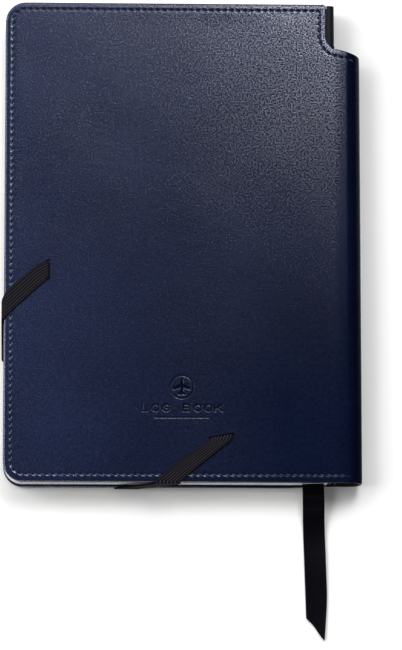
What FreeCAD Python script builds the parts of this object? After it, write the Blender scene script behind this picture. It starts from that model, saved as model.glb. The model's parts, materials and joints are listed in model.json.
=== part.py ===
import FreeCAD, Part
import math
import os

# A pilot logbook: a leather-covered case binding with a pen sleeve along the spine, an elastic
# corner strap and a ribbon bookmark. It lies on its front cover. Millimetres.
# X runs from the fore edge to the spine, Y from the tail to the head, Z up through the thickness.

V = FreeCAD.Vector

# ---- driving dimensions -------------------------------------------------------------------
WIDTH = 140.0                 # fore edge to the outside of the pen sleeve
HEIGHT = 190.5                # tail to head
THICK = 15.0                  # front leather to back leather
CORNER_R = 7.3                # fore-edge corners of the covers
HEAD_CORNER_R = 1.4           # the cover's corner beside the notch

LEATHER_T = 1.2
BOARD_T = 0.9
LINING_T = 0.4                # the paper pasted inside each cover
COVER_T = LEATHER_T + BOARD_T + LINING_T
TURN_IN = 1.0                 # leather folded round the board's edge
BOARD_GAP = 0.05              # between the board and what lies beside it
LINING_MARGIN = 2.0
HINGE_CLOTH_T = 0.4

HINGE_X = 59.0                # where the covers fold against the sleeve
HINGE_LIFT = 0.3              # the fold line stands this far outside the leather
HINGE_GAP = 0.1               # from the fold line to the cover's edge
SLEEVE_X0 = 59.2
BOARD_X1 = 54.5               # the boards stop short, which leaves a soft hinge
LINING_X1 = 55.3
HINGE_CLOTH_X1 = 58.8
HINGE_CLOTH_Y = (-93.75, 75.6)

NOTCH_X = 56.6                # the cover's edge in the notch at the head of the spine
NOTCH_CENTRE = (62.0, 82.2)   # of the round in the notch's inner corner
NOTCH_R = 5.4
SLEEVE_HEAD_Y = 77.6          # the sleeve's head end, at SLEEVE_X0
SLEEVE_HEAD_SLOPE = -0.27

SLEEVE_R = 6.0
SLEEVE_T = 0.9
SLEEVE_LINING_T = 0.35
LINER_T = 0.6
LINER_X = 59.25
LINER_MARGIN = 0.35           # from its ends to the covers' ends
LINER_RISE = 1.0              # from the outside of the covers to the wall
WRAP_Y0 = 78.5                # from here to the head it wraps round the pages
WRAP_T = 0.8
WRAP_R = 2.0
WRAP_RISE = 1.25
WRAP_GAP = 0.2                # from the cover's edge in the notch

PAPER_X0 = -69.5
PAPER_X1 = 56.5
PAPER_Y = 94.75
PAPER_R = 6.8
SECTION_T = 0.9
SECTION_GAP = 0.03
FLYLEAF_T = 0.25
FIRST_SECTION_Z = COVER_T + 0.33
UPPER_SECTION_Z = 6.98
SECTIONS_BELOW_RIBBON = 4
SECTIONS_ABOVE_RIBBON = 4
TURNING_SECTIONS = ((10.72, 0.7), (11.47, 0.65))     # height and thickness
BACK_FLYLEAF_Z = 12.17        # it and the last sections turn with the back cover

STITCH_INSET = 2.1
STITCH_W = 0.6
STITCH_DEPTH = 0.3
SLEEVE_STITCH_X1 = 64.0       # the sleeve's rows of stitches end here, where its curve starts

MULL_T = 0.3
MULL_MARGIN = 4.0             # from its ends to the pages' ends
BAND_X = PAPER_X1 + 1.2       # the head and tail bands
BAND_R = 0.95
BAND_Z = (3.0, 12.0)
THREAD_X = PAPER_X1 + 0.9
THREAD_R = 0.3
THREAD_Z = (3.2, 10.6)
SEWING_STATIONS = (-72.0, -36.0, 0.0, 36.0, 72.0)

STRAP_T = 0.9
STRAP_LIFT = 0.05
SLIT_W = 1.3
SLIT_ROOM = 0.3               # each end of a slit is this far past the strap
STRAP_GAP = 0.02              # between the strap and the covers' edges
UPPER_SLIT_X = -52.8
UPPER_SLIT_Y = (-14.9, -7.2)
LOWER_SLIT = ((10.4, -78.0), (19.2, -76.4))
FORE_TOP_Y = (-31.8, -20.3)   # where the strap turns over the fore edge of the back cover
FORE_BOTTOM_Y = (-46.8, -34.2)
TAIL_TOP_X = (-12.2, -1.3)    # and over its tail edge
TAIL_BOTTOM_X = (-27.0, -16.8)
CHANNEL_DEPTH = 0.95          # the strap's channel pressed into the front cover
CHANNEL_MARGIN = 0.4
PATCH = 14.0
PATCH_T = 0.35
PATCH_GAP = 0.2

RIBBON_W = 8.5
RIBBON_T = 0.3
RIBBON_X = 51.0
RIBBON_Z = 6.75
RIBBON_START = 0.35           # the inner part starts this far inside the pages' tail
RIBBON_STOP = 3.0             # and stops this far short of their head
RIBBON_YAW = 1.8              # degrees, towards the spine as it leaves the book
RIBBON_CUT = 9.0              # how much longer its outer edge is than its inner edge
# The free end's route, from the tail of the pages: distance out and height.
RIBBON_ROUTE = (
    (0.0, 6.75), (6.5, 6.3), (12.5, 2.4), (20.5, 0.55),
    (32.0, 1.15), (46.5, 0.5), (61.0, 0.75),
)
RIBBON_BEND = 0.45            # how much of the shorter run beside it each bend takes up

HALF_W = WIDTH / 2
HALF_H = HEIGHT / 2
# The strap stands out past the fore edge and the tail, so the whole is moved back by half of it.
CENTRING = V(STRAP_T / 2, STRAP_T / 2, 0)

os.makedirs("parts", exist_ok=True)


def save(name, *solids):
    shape = solids[0] if len(solids) == 1 else Part.makeCompound(list(solids))
    shape = shape.copy()
    shape.translate(CENTRING)
    if not shape.isValid():
        raise ValueError(name + " is not a valid shape")
    shape.exportStep("parts/" + name + ".step")
    print(name, round(shape.Volume, 2))


def flip(shape):
    """The same piece on the other cover."""
    return shape.mirror(V(0, 0, THICK / 2), V(0, 0, 1))


def box(x0, x1, y0, y1, z0, z1):
    return Part.makeBox(x1 - x0, y1 - y0, z1 - z0, V(x0, y0, z0))


def slab(wire, z0, z1):
    face = Part.Face(wire)
    face.translate(V(0, 0, z0))
    return face.extrude(V(0, 0, z1 - z0))


def prism(points, z0, z1):
    corners = [V(x, y, 0) for x, y in points]
    return slab(Part.makePolygon(corners + corners[:1]), z0, z1)


def line(start, end):
    return Part.LineSegment(V(*start, 0), V(*end, 0)).toShape()


def arc(centre, radius, start, end):
    """An arc in the XY plane, from angle start to angle end in degrees, either way round."""
    points = []
    for angle in (start, (start + end) / 2, end):
        turn = math.radians(angle)
        points.append(V(centre[0] + radius * math.cos(turn), centre[1] + radius * math.sin(turn), 0))
    return Part.Arc(*points).toShape()


def joined(edges):
    return Part.Wire(Part.__sortEdges__(edges))


def leaf_outline(x0, x1, half, radius):
    """A rectangle whose two fore-edge corners are round."""
    return joined([
        line((x1, -half), (x0 + radius, -half)),
        arc((x0 + radius, -half + radius), radius, 270, 180),
        line((x0, -half + radius), (x0, half - radius)),
        arc((x0 + radius, half - radius), radius, 180, 90),
        line((x0 + radius, half), (x1, half)),
        line((x1, half), (x1, -half)),
    ])


def cover_outline(inset):
    """A cover's leather, with the notch at the head of the spine, moved in from its edges."""
    x0 = -HALF_W + inset
    half = HALF_H - inset
    radius = CORNER_R - inset
    head_r = max(HEAD_CORNER_R - inset, 0.3)
    notch_x = NOTCH_X - inset
    notch_r = NOTCH_R + inset
    edge = HINGE_X - HINGE_GAP
    turn = math.acos((edge - NOTCH_CENTRE[0]) / notch_r)
    notch_end = (edge, NOTCH_CENTRE[1] - notch_r * math.sin(turn))
    return joined([
        line((edge, -half), (x0 + radius, -half)),
        arc((x0 + radius, -half + radius), radius, 270, 180),
        line((x0, -half + radius), (x0, half - radius)),
        arc((x0 + radius, half - radius), radius, 180, 90),
        line((x0 + radius, half), (notch_x - head_r, half)),
        arc((notch_x - head_r, half - head_r), head_r, 90, 0),
        line((notch_x, half - head_r), (notch_x, NOTCH_CENTRE[1])),
        arc(NOTCH_CENTRE, notch_r, 180, 360 - math.degrees(turn)),
        line(notch_end, (edge, -half)),
    ])


def sleeve_section(inset, x0):
    """The sleeve's outline across the spine, open towards the pages, as a face in the XZ plane."""
    radius = SLEEVE_R - inset
    centre_x = HALF_W - SLEEVE_R
    low = SLEEVE_R
    high = THICK - SLEEVE_R
    edges = [
        line((x0, inset), (centre_x, inset)),
        arc((centre_x, low), radius, 270, 360),
        line((centre_x + radius, low), (centre_x + radius, high)),
        arc((centre_x, high), radius, 0, 90),
        line((centre_x, THICK - inset), (x0, THICK - inset)),
        line((x0, THICK - inset), (x0, inset)),
    ]
    face = Part.Face(joined(edges))
    face.rotate(V(0, 0, 0), V(1, 0, 0), 90)
    return face


def sleeve_layer(outer, inner, x0):
    """One layer of the sleeve, cut off along the slanted head end."""
    length = 2 * HALF_H
    whole = sleeve_section(outer, x0).extrude(V(0, length, 0))
    hollow = sleeve_section(inner, x0 - 1.0).extrude(V(0, length, 0))
    layer = whole.cut(hollow)
    layer.translate(V(0, -HALF_H, 0))
    return layer.cut(above_sleeve(0.0))


def sleeve_head_y(x):
    return SLEEVE_HEAD_Y + SLEEVE_HEAD_SLOPE * (x - SLEEVE_X0)


def above_sleeve(inset):
    """Everything past a line that runs inside the sleeve's head end."""
    x0 = SLEEVE_X0 - 5.0
    x1 = HALF_W + 5.0
    far = HALF_H + 5.0
    down = inset * math.hypot(1.0, SLEEVE_HEAD_SLOPE)
    points = [(x0, sleeve_head_y(x0) - down), (x1, sleeve_head_y(x1) - down), (x1, far), (x0, far)]
    return prism(points, -1.0, THICK + 1.0)


# ---- the strap's outlines -----------------------------------------------------------------
upper_strand = [
    (UPPER_SLIT_X + STRAP_T / 2, UPPER_SLIT_Y[1]),
    (UPPER_SLIT_X + STRAP_T / 2, UPPER_SLIT_Y[0]),
    (-HALF_W - STRAP_T, FORE_TOP_Y[0]),
    (-HALF_W - STRAP_T, FORE_TOP_Y[1]),
]
lower_strand = [
    LOWER_SLIT[0],
    LOWER_SLIT[1],
    (TAIL_TOP_X[1], -HALF_H - STRAP_T),
    (TAIL_TOP_X[0], -HALF_H - STRAP_T),
]


def front_strand(margin):
    """The strand across the front cover's corner, made wider by margin on each side."""
    side = 1.5 * margin
    reach = STRAP_T + margin
    return [
        (-HALF_W - reach, FORE_BOTTOM_Y[1] + side),
        (-HALF_W - reach, FORE_BOTTOM_Y[0] - side),
        (TAIL_BOTTOM_X[0] - side, -HALF_H - reach),
        (TAIL_BOTTOM_X[1] + side, -HALF_H - reach),
    ]


def slits(z0, z1):
    """The two slits that the strap's ends pass through."""
    half = SLIT_W / 2
    y0, y1 = UPPER_SLIT_Y
    upper = box(UPPER_SLIT_X - half, UPPER_SLIT_X + half, y0 - SLIT_ROOM, y1 + SLIT_ROOM, z0, z1)
    (xa, ya), (xb, yb) = LOWER_SLIT
    xa -= SLIT_ROOM
    xb += SLIT_ROOM
    lower = prism([(xa, ya - half), (xb, yb - half), (xb, yb + half), (xa, ya + half)], z0, z1)
    return upper.fuse(lower)


def patch_places():
    (xa, ya), (xb, yb) = LOWER_SLIT
    return {
        "upper": (UPPER_SLIT_X, sum(UPPER_SLIT_Y) / 2),
        "lower": ((xa + xb) / 2, (ya + yb) / 2),
    }


def patch(place, size, z0, z1):
    x, y = place
    return box(x - size / 2, x + size / 2, y - size / 2, y + size / 2, z0, z1)


# ---- covers -------------------------------------------------------------------------------
BACK_IN = THICK - COVER_T                 # inner face of the back cover's lining
BACK_BOARD = BACK_IN + LINING_T
BACK_LEATHER = THICK - LEATHER_T


def cover_stitching():
    outer = slab(cover_outline(STITCH_INSET), THICK - STITCH_DEPTH, THICK)
    inner = slab(cover_outline(STITCH_INSET + STITCH_W), THICK - STITCH_DEPTH - 1, THICK + 1)
    return outer.cut(inner)


def cover_leather(stitches):
    whole = slab(cover_outline(0.0), BACK_BOARD, THICK)
    room = slab(leaf_outline(-HALF_W + TURN_IN, HINGE_X + 5, HALF_H - TURN_IN, CORNER_R - TURN_IN),
                BACK_BOARD - 1, BACK_LEATHER)
    notch_side = box(NOTCH_X - TURN_IN, HINGE_X + 5, NOTCH_CENTRE[1], HALF_H, BACK_BOARD - 2, BACK_LEATHER)
    return whole.cut(room.cut(notch_side)).cut(stitches)


def cover_board():
    edge = TURN_IN + BOARD_GAP
    outline = leaf_outline(-HALF_W + edge, BOARD_X1, HALF_H - edge, CORNER_R - TURN_IN)
    return slab(outline, BACK_BOARD, BACK_LEATHER)


def cover_lining():
    outline = leaf_outline(-HALF_W + LINING_MARGIN, LINING_X1, HALF_H - LINING_MARGIN, CORNER_R - LINING_MARGIN)
    return slab(outline, BACK_IN, BACK_BOARD)


def hinge_cloth():
    return box(BOARD_X1 + BOARD_GAP, HINGE_CLOTH_X1, *HINGE_CLOTH_Y, BACK_LEATHER - HINGE_CLOTH_T, BACK_LEATHER)


stitches = cover_stitching()
leather = cover_leather(stitches)
board = cover_board()

strap_slits = slits(BACK_IN, THICK + 1)

back_board = board.cut(strap_slits)
patch_room = PATCH + 2 * PATCH_GAP
for place in patch_places().values():
    back_board = back_board.cut(patch(place, patch_room, BACK_BOARD - 1, BACK_BOARD + PATCH_T + BOARD_GAP))
save("back_cover_leather", leather.cut(strap_slits))
save("back_cover_board", back_board)
save("back_cover_lining", cover_lining())
save("back_hinge_cloth", hinge_cloth())
save("back_cover_stitching", stitches)
for name, place in patch_places().items():
    save("strap_patch_" + name, patch(place, PATCH, BACK_BOARD, BACK_BOARD + PATCH_T))

channel = prism(front_strand(CHANNEL_MARGIN), -1.0, CHANNEL_DEPTH)
save("front_cover_leather", flip(leather).cut(channel))
save("front_cover_board", flip(board))
save("front_cover_lining", flip(cover_lining()))
save("front_hinge_cloth", flip(hinge_cloth()))
save("front_cover_stitching", *flip(stitches).cut(channel).Solids)


# ---- elastic strap ------------------------------------------------------------------------
def closure_strap():
    top = THICK + STRAP_LIFT
    bottom = STRAP_LIFT
    end_z = BACK_BOARD + PATCH_T + 2 * BOARD_GAP
    fore_x = -HALF_W - STRAP_GAP
    tail_y = -HALF_H - STRAP_GAP
    fore = Part.makePolygon([
        V(fore_x, FORE_TOP_Y[1], top + STRAP_T), V(fore_x, FORE_TOP_Y[0], top + STRAP_T),
        V(fore_x, FORE_BOTTOM_Y[0], bottom), V(fore_x, FORE_BOTTOM_Y[1], bottom),
        V(fore_x, FORE_TOP_Y[1], top + STRAP_T),
    ])
    tail = Part.makePolygon([
        V(TAIL_TOP_X[1], tail_y, top + STRAP_T), V(TAIL_TOP_X[0], tail_y, top + STRAP_T),
        V(TAIL_BOTTOM_X[0], tail_y, bottom), V(TAIL_BOTTOM_X[1], tail_y, bottom),
        V(TAIL_TOP_X[1], tail_y, top + STRAP_T),
    ])
    strap = prism(upper_strand, top, top + STRAP_T)
    strap = strap.fuse(prism(lower_strand, top, top + STRAP_T))
    strap = strap.fuse(prism(front_strand(0.0), bottom, bottom + STRAP_T))
    strap = strap.fuse(Part.Face(fore).extrude(V(STRAP_GAP - STRAP_T, 0, 0)))
    strap = strap.fuse(Part.Face(tail).extrude(V(0, STRAP_GAP - STRAP_T, 0)))
    half = STRAP_T / 2
    upper_end = box(UPPER_SLIT_X - half, UPPER_SLIT_X + half, *UPPER_SLIT_Y, end_z, top + STRAP_T)
    (xa, ya), (xb, yb) = LOWER_SLIT
    lower_outline = [(xa, ya - half), (xb, yb - half), (xb, yb + half), (xa, ya + half)]
    lower_end = prism(lower_outline, end_z, top + STRAP_T)
    return strap.fuse(upper_end).fuse(lower_end).removeSplitter()


save("closure_strap", *closure_strap().Solids)


# ---- pen sleeve ---------------------------------------------------------------------------
def sleeve_stitching():
    """A row across the tail end and one along the slanted head end."""
    z0 = THICK - STITCH_DEPTH
    tail_y = -HALF_H + STITCH_INSET
    tail = box(SLEEVE_X0, SLEEVE_STITCH_X1, tail_y, tail_y + STITCH_W, z0, THICK)
    strip = box(SLEEVE_X0, SLEEVE_STITCH_X1, 0, HALF_H, z0, THICK)
    head = strip.cut(above_sleeve(STITCH_INSET)).common(above_sleeve(STITCH_INSET + STITCH_W))
    return [tail, head]


rows = sleeve_stitching()
rows = rows + [flip(row) for row in rows]
sleeve = sleeve_layer(0.0, SLEEVE_T, SLEEVE_X0)
for row in rows:
    sleeve = sleeve.cut(row)
lining_x0 = LINER_X + LINER_T + BOARD_GAP
save("pen_sleeve_leather", sleeve)
save("pen_sleeve_lining", sleeve_layer(SLEEVE_T, SLEEVE_T + SLEEVE_LINING_T, lining_x0))
save("pen_sleeve_stitching", *rows)


# ---- spine --------------------------------------------------------------------------------
def spine_liner():
    """The leather-cloth wall between pages and sleeve. It wraps the pages where the notch shows it."""
    right = LINER_X + LINER_T
    head = HALF_H - LINER_MARGIN
    wall = box(LINER_X, right, -head, WRAP_Y0, LINER_RISE, THICK - LINER_RISE)
    outer = box(NOTCH_X + WRAP_GAP, right, WRAP_Y0, head, WRAP_RISE, THICK - WRAP_RISE)
    inner = box(NOTCH_X - 1, LINER_X, WRAP_Y0 - 1, head + 1, WRAP_RISE + WRAP_T, THICK - WRAP_RISE - WRAP_T)
    rim = [e for e in outer.Edges
           if abs(e.Length - (head - WRAP_Y0)) < 0.01 and abs(e.CenterOfMass.x - right) < 0.01]
    return wall.fuse(outer.makeFillet(WRAP_R, rim).cut(inner)).removeSplitter()


save("spine_liner", spine_liner())
mull_x = PAPER_X1 + 0.1
mull_y = PAPER_Y - MULL_MARGIN
save("spine_mull", box(mull_x, mull_x + MULL_T, -mull_y, mull_y, COVER_T + 0.1, THICK - COVER_T - 0.2))

for name, side in (("head_band", 1), ("tail_band", -1)):
    foot = V(BAND_X, side * (PAPER_Y - 1.0), BAND_Z[0])
    save(name, Part.makeCylinder(BAND_R, BAND_Z[1] - BAND_Z[0], foot))

feet = [V(THREAD_X, y, THREAD_Z[0]) for y in SEWING_STATIONS]
save("sewing_threads", *[Part.makeCylinder(THREAD_R, THREAD_Z[1] - THREAD_Z[0], foot) for foot in feet])


# ---- pages --------------------------------------------------------------------------------
def leaves(z0, thickness):
    return slab(leaf_outline(PAPER_X0, PAPER_X1, PAPER_Y, PAPER_R), z0, z0 + thickness)


save("front_flyleaf", leaves(COVER_T + 0.05, FLYLEAF_T))
section_z = [FIRST_SECTION_Z + i * (SECTION_T + SECTION_GAP) for i in range(SECTIONS_BELOW_RIBBON)]
section_z += [UPPER_SECTION_Z + i * (SECTION_T + SECTION_GAP) for i in range(SECTIONS_ABOVE_RIBBON)]
stack = [(z0, SECTION_T) for z0 in section_z] + list(TURNING_SECTIONS)
for number, (z0, thickness) in enumerate(stack, 1):
    save("signature_%02d" % number, leaves(z0, thickness))
save("back_flyleaf", leaves(BACK_FLYLEAF_Z, FLYLEAF_T))


# ---- ribbon bookmark ----------------------------------------------------------------------
def ribbon_line(route, offset):
    """The route as straight runs joined by tangent arcs, moved sideways by offset."""
    points = [V(s, 0, z) for s, z in route]
    edges = []
    start = None
    for i in range(1, len(points) - 1):
        before = points[i] - points[i - 1]
        after = points[i + 1] - points[i]
        turn = before.getAngle(after)
        shorter = min(before.Length, after.Length)
        reach = RIBBON_BEND * shorter
        radius = reach / math.tan(turn / 2)
        before.normalize()
        after.normalize()
        inward = after - before
        inward.normalize()
        centre = points[i] + inward * math.hypot(radius, reach)
        side_in = V(-before.z, 0, before.x)
        side_out = V(-after.z, 0, after.x)
        enter = points[i] - before * reach + side_in * offset
        leave = points[i] + after * reach + side_out * offset
        middle = centre - inward * (radius - offset * (1 if side_in.dot(inward) > 0 else -1))
        first = start if start else points[0] + side_in * offset
        edges.append(Part.LineSegment(first, enter).toShape())
        edges.append(Part.Arc(enter, middle, leave).toShape())
        start = leave
        last = points[i + 1] + side_out * offset
        if offset == 0:
            print("ribbon bend radius", round(radius, 1))
    edges.append(Part.LineSegment(start, last).toShape())
    return edges, last


def free_ribbon():
    """A flat strip that drops to the table and lies on it, cut off at a slant."""
    centre, _ = ribbon_line(RIBBON_ROUTE, 0)
    length = sum(edge.Length for edge in centre)
    upper, upper_end = ribbon_line(RIBBON_ROUTE, RIBBON_T / 2)
    lower, lower_end = ribbon_line(RIBBON_ROUTE, -RIBBON_T / 2)
    caps = [Part.LineSegment(upper[0].Vertexes[0].Point, lower[0].Vertexes[0].Point).toShape(),
            Part.LineSegment(upper_end, lower_end).toShape()]
    strip = Part.Face(joined(upper + lower + caps)).extrude(V(0, RIBBON_W, 0))
    tip = RIBBON_ROUTE[-1][0]
    corner = [V(tip - RIBBON_CUT, 0, -5), V(tip + 1, 0, -5), V(tip + 1, RIBBON_W * (1 + 1 / RIBBON_CUT), -5)]
    wedge = Part.Face(Part.makePolygon(corner + corner[:1])).extrude(V(0, 0, 20))
    strip = strip.cut(wedge)
    print("ribbon length", round(length, 1), "volume", round(strip.Volume, 1),
          "section x length", round(length * RIBBON_W * RIBBON_T, 1), "less the cut corner")
    strip.translate(V(0, -RIBBON_W / 2, 0))
    strip.rotate(V(0, 0, 0), V(0, 0, 1), -90 + RIBBON_YAW)
    strip.translate(V(RIBBON_X, -PAPER_Y, 0))
    return strip


half_w = RIBBON_W / 2
half_t = RIBBON_T / 2
save("ribbon_inner", box(RIBBON_X - half_w, RIBBON_X + half_w, -PAPER_Y + RIBBON_START, PAPER_Y - RIBBON_STOP,
                         RIBBON_Z - half_t, RIBBON_Z + half_t))
save("ribbon_tail", free_ribbon())
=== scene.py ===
import json
import math
import random

import bmesh
import bpy
import numpy as np
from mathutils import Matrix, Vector, noise
from mathutils.geometry import delaunay_2d_cdt


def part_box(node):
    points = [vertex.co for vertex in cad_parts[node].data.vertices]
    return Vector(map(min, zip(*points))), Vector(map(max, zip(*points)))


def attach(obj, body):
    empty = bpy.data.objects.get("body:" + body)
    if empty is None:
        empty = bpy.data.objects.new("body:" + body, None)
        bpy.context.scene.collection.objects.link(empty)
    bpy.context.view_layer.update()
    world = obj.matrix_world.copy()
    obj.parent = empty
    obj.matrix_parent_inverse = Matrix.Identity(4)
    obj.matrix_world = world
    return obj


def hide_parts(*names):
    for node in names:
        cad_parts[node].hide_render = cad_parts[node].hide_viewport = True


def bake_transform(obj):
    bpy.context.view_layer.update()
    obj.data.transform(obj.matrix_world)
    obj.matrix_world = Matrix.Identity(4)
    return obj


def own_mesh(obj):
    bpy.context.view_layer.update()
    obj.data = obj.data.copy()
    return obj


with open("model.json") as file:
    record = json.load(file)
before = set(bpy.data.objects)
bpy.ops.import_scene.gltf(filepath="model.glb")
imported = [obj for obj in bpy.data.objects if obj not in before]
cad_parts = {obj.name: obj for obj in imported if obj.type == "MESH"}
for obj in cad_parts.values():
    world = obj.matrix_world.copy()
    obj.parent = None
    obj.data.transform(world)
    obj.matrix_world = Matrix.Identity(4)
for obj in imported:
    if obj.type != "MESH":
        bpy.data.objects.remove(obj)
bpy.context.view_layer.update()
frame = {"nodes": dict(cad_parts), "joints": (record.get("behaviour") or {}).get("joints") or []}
random.seed(7)

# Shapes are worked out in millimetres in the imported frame, and made in metres.
MM = 0.001


def mm_box(node):
    """A node's box in the frame, in millimetres."""
    low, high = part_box(node)
    return low / MM, high / MM


leather_lo, leather_hi = mm_box("back_cover_leather")
sleeve_lo, sleeve_hi = mm_box("pen_sleeve_leather")
joints = {joint["name"]: joint for joint in frame["joints"]}

FORE = leather_lo.x                  # fore edge of the covers
TAIL = leather_lo.y
HEAD = leather_hi.y
TOP = leather_hi.z                   # outside of the back cover
SPINE = sleeve_hi.x                  # outside of the pen sleeve
SHIFT = 0.45                         # the frame counts the strap too, so it is this far off the covers' middle
HINGE = joints["back_cover_hinge"]["pos_m"][0] / MM
CORNER_R = 8.0
HEAD_CORNER_R = 1.4                  # the corner at the notch
NOTCH = 56.6 + SHIFT                 # the notch's straight side, and the middle of its round end
NOTCH_R = 5.4
NOTCH_MIDDLE = (62.0 + SHIFT, 82.2 + SHIFT)
SLEEVE_R = 6.0
SLEEVE_SLOPE = -0.27                 # of the sleeve's head end, falling towards the spine
NOTCH_TURN_END = 270 - math.degrees(math.atan(-SLEEVE_SLOPE))
SLEEVE_HEAD = (sleeve_lo.x, sleeve_hi.y)
COVER_T = 2.45
SLEEVE_T = 1.2
FRONT_PROUD = 0.7                    # the front cover stands a little out from under the pages at the tail
STITCH_PITCH = 2.65
STITCH_INSET = 2.9
STITCH_END = 66.0 + SHIFT            # the rows on the sleeve end here
EDGE_DOME = 0.22                     # how far the sewing pulls the edge down, and how far in that starts
EDGE_DOME_W = 2.2
ROLL = 0.32                          # the leather's edge is rolled under by this much
FINE_FROM = 52.0 + SHIFT             # from here to the seam the skins' points lie closer together
# The skins are worked out flat. The sleeve is unrolled, and its seam is halfway down the spine.
SLEEVE_CENTRE = SPINE - SLEEVE_R
QUARTER = SLEEVE_R * math.pi / 2
SEAM = SLEEVE_CENTRE + QUARTER + (TOP / 2 - SLEEVE_R)


# ---- camera
CAMERA_AT = (-48.5, -273.7, 1525.5)
CAMERA_TURN = (9.045, -2.112, -0.045)
CAMERA_LENS = 217.2

camera_data = bpy.data.cameras.new("camera")
camera_data.lens = CAMERA_LENS
camera_data.sensor_width = 36.0
camera_data.clip_end = 20.0
camera = bpy.data.objects.new("camera", camera_data)
camera.location = Vector(CAMERA_AT) * MM
camera.rotation_euler = [math.radians(turn) for turn in CAMERA_TURN]
bpy.context.scene.collection.objects.link(camera)
bpy.context.scene.camera = camera
bpy.context.scene.view_settings.view_transform = "Standard"


# ---- nodes
class Nodes:
    """A material's node tree, with short ways to add to it."""

    def __init__(self, name):
        self.material = bpy.data.materials.new(name)
        self.material.use_nodes = True
        self.tree = self.material.node_tree
        self.shader = self.tree.nodes["Principled BSDF"]

    def add(self, kind, **settings):
        node = self.tree.nodes.new(kind)
        for key, value in settings.items():
            if key in node.inputs:
                self.feed(node.inputs[key], value)
            else:
                setattr(node, key, value)
        return node

    def feed(self, socket, value):
        if isinstance(value, bpy.types.NodeSocket):
            self.tree.links.new(value, socket)
        else:
            socket.default_value = value

    def place(self, scale=(1, 1, 1)):
        """The object's own coordinates, scaled."""
        where = self.add("ShaderNodeTexCoord")
        mapping = self.add("ShaderNodeMapping")
        self.feed(mapping.inputs["Vector"], where.outputs["Object"])
        mapping.inputs["Scale"].default_value = scale
        return mapping.outputs["Vector"]

    def carried(self, name):
        """The three numbers that a mesh carries under a name, as a vector."""
        return self.add("ShaderNodeAttribute", attribute_name=name).outputs["Vector"]

    def parts(self, vector):
        split = self.add("ShaderNodeSeparateXYZ")
        self.feed(split.inputs[0], vector)
        return split.outputs

    def noise(self, where, scale, detail=3.0, roughness=0.55):
        node = self.add("ShaderNodeTexNoise")
        self.feed(node.inputs["Vector"], where)
        node.inputs["Scale"].default_value = scale
        node.inputs["Detail"].default_value = detail
        node.inputs["Roughness"].default_value = roughness
        return node.outputs["Fac"]

    def voronoi(self, where, scale, feature="F1"):
        node = self.add("ShaderNodeTexVoronoi")
        node.feature = feature
        self.feed(node.inputs["Vector"], where)
        node.inputs["Scale"].default_value = scale
        return node.outputs["Distance"]

    def math(self, operation, a, b=0.0):
        node = self.add("ShaderNodeMath")
        node.operation = operation
        self.feed(node.inputs[0], a)
        self.feed(node.inputs[1], b)
        return node.outputs[0]

    def times(self, a, b):
        return self.math("MULTIPLY", a, b)

    def plus(self, a, b):
        return self.math("ADD", a, b)

    def span(self, value, low, high, out_low, out_high):
        """A value's range from low to high, spread over another range and held at its ends."""
        node = self.add("ShaderNodeMapRange")
        self.feed(node.inputs["Value"], value)
        limits = {"From Min": low, "From Max": high, "To Min": out_low, "To Max": out_high}
        for key, limit in limits.items():
            node.inputs[key].default_value = limit
        return node.outputs[0]

    def blend(self, factor, first, second):
        node = self.add("ShaderNodeMix")
        node.data_type = "RGBA"
        self.feed(node.inputs[0], factor)
        self.feed(node.inputs[6], first)
        self.feed(node.inputs[7], second)
        return node.outputs[2]

    def scaled(self, color, factor):
        node = self.add("ShaderNodeVectorMath", operation="SCALE")
        self.feed(node.inputs[0], color)
        self.feed(node.inputs["Scale"], factor)
        return node.outputs[0]

    def bump(self, height, distance, strength=1.0, below=None):
        node = self.add("ShaderNodeBump")
        self.feed(node.inputs["Height"], height)
        node.inputs["Distance"].default_value = distance
        node.inputs["Strength"].default_value = strength
        if below is not None:
            self.feed(node.inputs["Normal"], below)
        return node.outputs["Normal"]

    def finish(self, color, roughness, normal=None, **fixed):
        """Link the shader's sockets, set the fixed ones, and return the material."""
        self.feed(self.shader.inputs["Base Color"], color)
        self.feed(self.shader.inputs["Roughness"], roughness)
        if normal is not None:
            self.feed(self.shader.inputs["Normal"], normal)
        for key, value in fixed.items():
            self.shader.inputs[key.replace("_", " ")].default_value = value
        return self.material


def srgb(red, green, blue):
    """The colour that shows as these 0 to 255 values."""
    parts = [value / 255 for value in (red, green, blue)]
    linear = [part / 12.92 if part <= 0.04045 else ((part + 0.055) / 1.055) ** 2.4 for part in parts]
    return (*linear, 1.0)


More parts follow.
